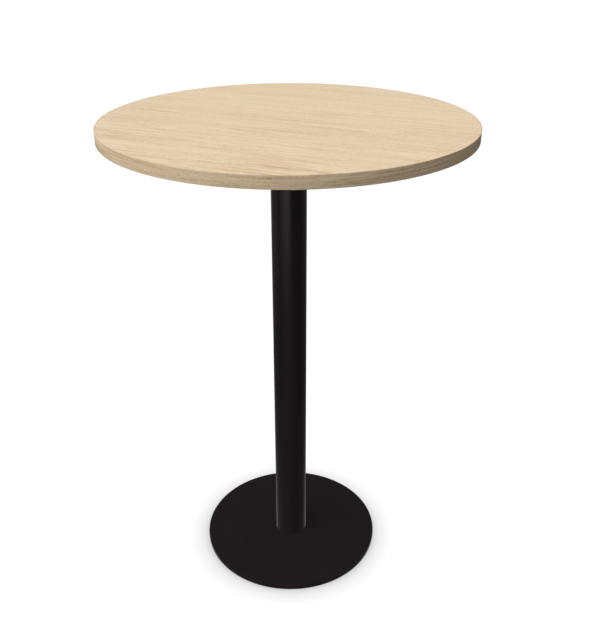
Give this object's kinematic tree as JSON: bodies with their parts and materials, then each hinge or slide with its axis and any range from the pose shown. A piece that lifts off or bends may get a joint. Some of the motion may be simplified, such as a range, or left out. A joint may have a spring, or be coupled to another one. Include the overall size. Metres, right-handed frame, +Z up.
{
  "type": "round bar table",
  "caption": "Round bar table: a flat oak-veneered round top on a slim black steel tube column, bolted to a flat round black steel base plate on levelling glides.",
  "frame": {"origin": "on the floor, on the axis of the column", "axes": "+Z up along the column, +X and +Y through the levelling glides"},
  "size_m": [0.7999, 0.8, 1.125],
  "materials": {
    "oak_face": "matt lacquered natural oak veneer with long straight grain",
    "oak_back": "matt lacquered natural oak veneer, plainer than the face",
    "oak_edge": "matt lacquered oak edging with the grain along the rim",
    "particle_board": "raw particle board",
    "black_powder_coat": "fine textured black powder coat, satin",
    "bare_steel": "turned bare steel",
    "plated_steel": "bright zinc plate",
    "blackened_steel": "black oxide",
    "black_nylon": "moulded black nylon"
  },
  "bodies": {
    "table": {"top_core": "particle_board", "top_veneer": "oak_face", "underside_veneer": "oak_back", "edge_band": "oak_edge", "threaded_inserts": "plated_steel", "top_fixing_washers": "plated_steel", "top_fixing_screws": "plated_steel", "top_plate": "black_powder_coat", "head_screws": "blackened_steel", "foot_screws": "blackened_steel", "column_tube": "black_powder_coat", "column_head_boss": "bare_steel", "column_foot_boss": "bare_steel", "base_plate": "black_powder_coat"},
    "pad_1": {"glide_pad_1": "black_nylon"},
    "stud_1": {"glide_stud_1": "plated_steel"},
    "pad_2": {"glide_pad_2": "black_nylon"},
    "stud_2": {"glide_stud_2": "plated_steel"},
    "pad_3": {"glide_pad_3": "black_nylon"},
    "stud_3": {"glide_stud_3": "plated_steel"},
    "pad_4": {"glide_pad_4": "black_nylon"},
    "stud_4": {"glide_stud_4": "plated_steel"}
  },
  "joints": [
    {"name": "glide_travel_1", "type": "slide", "parent": "table", "child": "pad_1", "axis": [0, 0, 1], "range_m": [-0.0025, 0]},
    {"name": "glide_turn_1", "type": "hinge", "parent": "pad_1", "child": "stud_1", "pos_m": [0.2, 0, 0.003], "axis": [0, 0, 1], "range_deg": [-720, 0]},
    {"name": "glide_travel_2", "type": "slide", "parent": "table", "child": "pad_2", "axis": [0, 0, 1], "range_m": [-0.0025, 0]},
    {"name": "glide_turn_2", "type": "hinge", "parent": "pad_2", "child": "stud_2", "pos_m": [0, 0.2, 0.003], "axis": [0, 0, 1], "range_deg": [-720, 0]},
    {"name": "glide_travel_3", "type": "slide", "parent": "table", "child": "pad_3", "axis": [0, 0, 1], "range_m": [-0.0025, 0]},
    {"name": "glide_turn_3", "type": "hinge", "parent": "pad_3", "child": "stud_3", "pos_m": [-0.2, 0, 0.003], "axis": [0, 0, 1], "range_deg": [-720, 0]},
    {"name": "glide_travel_4", "type": "slide", "parent": "table", "child": "pad_4", "axis": [0, 0, 1], "range_m": [-0.0025, 0]},
    {"name": "glide_turn_4", "type": "hinge", "parent": "pad_4", "child": "stud_4", "pos_m": [0, -0.2, 0.003], "axis": [0, 0, 1], "range_deg": [-720, 0]}
  ],
  "couplings": [
    {"joint": "glide_travel_1", "follows": "glide_turn_1", "m_per_rad": 0.00019894},
    {"joint": "glide_travel_2", "follows": "glide_turn_2", "m_per_rad": 0.00019894},
    {"joint": "glide_travel_3", "follows": "glide_turn_3", "m_per_rad": 0.00019894},
    {"joint": "glide_travel_4", "follows": "glide_turn_4", "m_per_rad": 0.00019894}
  ]
}
